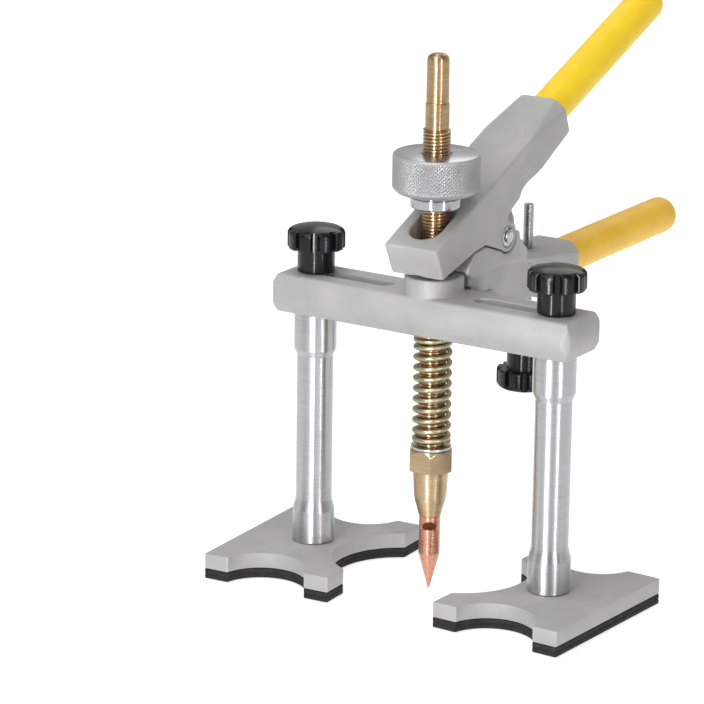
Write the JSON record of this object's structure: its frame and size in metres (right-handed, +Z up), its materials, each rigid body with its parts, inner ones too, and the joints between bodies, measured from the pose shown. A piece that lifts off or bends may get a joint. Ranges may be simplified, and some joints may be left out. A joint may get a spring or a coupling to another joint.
{
  "type": "lever-type spot weld dent puller",
  "caption": "Two-footed bridge whose squeezed handle lever lifts a threaded rod with a pointed copper spot-welding tip, returned by a coil spring.",
  "frame": {"origin": "on the floor plane, under the middle of the overall width and depth", "axes": "+X along the cross beam to the right, +Y from the toes back to the handle ends, +Z up along the pull rod"},
  "size_m": [0.2506, 0.3444, 0.3229],
  "materials": {
    "cast": "sand-cast aluminium, bead-blasted matte light grey",
    "turned": "turned and polished aluminium",
    "knurled": "fine diamond knurl, satin",
    "polished_steel": "polished, chromed",
    "steel": "zinc-plated steel, satin",
    "spring_steel": "yellow-passivated zinc with faint green and purple tints",
    "brass": "machined brass, lightly tarnished",
    "copper": "bare copper, turned, pinkish",
    "bronze": "sintered bronze bush",
    "knob_black": "glossy black moulded plastic",
    "sole_rubber": "black rubber, matte",
    "grip_yellow": "soft dipped vinyl, satin yellow"
  },
  "bodies": {
    "frame": {"cross_beam": "cast", "rod_bush": "bronze", "rear_arm": "cast", "pivot_pin": "steel", "pivot_clip": "steel", "pivot_bush": "bronze", "arm_screw_low_left": "steel", "arm_screw_high_left": "steel", "arm_screw_low_right": "steel", "arm_screw_high_right": "steel", "lower_handle_tube": "steel", "lower_grip": "grip_yellow", "lower_grub_screw": "steel"},
    "lever": {"lever": "cast", "upper_handle_tube": "steel", "upper_grip": "grip_yellow", "upper_grub_screw": "steel"},
    "pull_rod": {"pull_rod": "brass", "chuck": "brass", "copper_tip": "copper", "spring_washer": "steel", "return_spring": "spring_steel"},
    "thrust_collar": {"thrust_collar": "polished_steel"},
    "height_nut": {"height_nut": "knurled"},
    "leg_left": {"column_left": "turned", "clamp_stud_left": "steel", "foot_screw_left": "steel"},
    "leg_right": {"column_right": "turned", "clamp_stud_right": "steel", "foot_screw_right": "steel"},
    "knob_left": {"clamp_knob_left": "knob_black"},
    "knob_right": {"clamp_knob_right": "knob_black"},
    "foot_left": {"foot_plate_left": "cast", "foot_pad_left": "sole_rubber"},
    "foot_right": {"foot_plate_right": "cast", "foot_pad_right": "sole_rubber"},
    "stop_stud": {"stop_stud": "steel"},
    "stop_knob": {"stop_knob": "knob_black"}
  },
  "joints": [
    {"name": "lever_squeeze", "type": "hinge", "parent": "frame", "child": "lever", "pos_m": [0, -0.05782, 0.2058], "axis": [-1, 0, 0], "range_deg": [0, 22]},
    {"name": "rod_lift", "type": "slide", "parent": "frame", "child": "pull_rod", "axis": [0, 0, 1], "range_m": [0, 0.0132], "stiffness_N_per_m": 3000, "springref_m": -0.01, "deforming": ["return_spring"]},
    {"name": "collar_rise", "type": "slide", "parent": "pull_rod", "child": "thrust_collar", "axis": [0, 0, 1], "range_m": [0, 0.008]},
    {"name": "nut_turn", "type": "hinge", "parent": "thrust_collar", "child": "height_nut", "pos_m": [0, -0.11282, 0], "axis": [0, 0, 1], "range_deg": [0, 1441]},
    {"name": "leg_left_slide", "type": "slide", "parent": "frame", "child": "leg_left", "axis": [1, 0, 0], "range_m": [-0.004, 0.02]},
    {"name": "leg_right_slide", "type": "slide", "parent": "frame", "child": "leg_right", "axis": [-1, 0, 0], "range_m": [-0.004, 0.02]},
    {"name": "knob_left_turn", "type": "hinge", "parent": "leg_left", "child": "knob_left", "pos_m": [-0.0811, -0.11282, 0.182], "axis": [0, 0, 1], "continuous": true},
    {"name": "knob_right_turn", "type": "hinge", "parent": "leg_right", "child": "knob_right", "pos_m": [0.0811, -0.11282, 0.182], "axis": [0, 0, 1], "continuous": true},
    {"name": "foot_left_swivel", "type": "hinge", "parent": "leg_left", "child": "foot_left", "pos_m": [-0.0811, -0.11282, 0], "axis": [0, 0, 1], "range_deg": [-12, 12]},
    {"name": "foot_right_swivel", "type": "hinge", "parent": "leg_right", "child": "foot_right", "pos_m": [0.0811, -0.11282, 0], "axis": [0, 0, 1], "range_deg": [-12, 12]},
    {"name": "stop_rise", "type": "slide", "parent": "frame", "child": "stop_stud", "axis": [0, 0, 1], "range_m": [-0.005, 0.008]},
    {"name": "stop_turn", "type": "hinge", "parent": "stop_stud", "child": "stop_knob", "pos_m": [0, -0.00382, 0.1], "axis": [0, 0, 1], "range_deg": [-1801, 2881]}
  ],
  "couplings": [
    {"joint": "rod_lift", "follows": "lever_squeeze", "m_per_rad": 0.034},
    {"joint": "nut_turn", "follows": "collar_rise", "rad_per_m": 3141.6},
    {"joint": "stop_turn", "follows": "stop_rise", "rad_per_m": 6283.2}
  ]
}
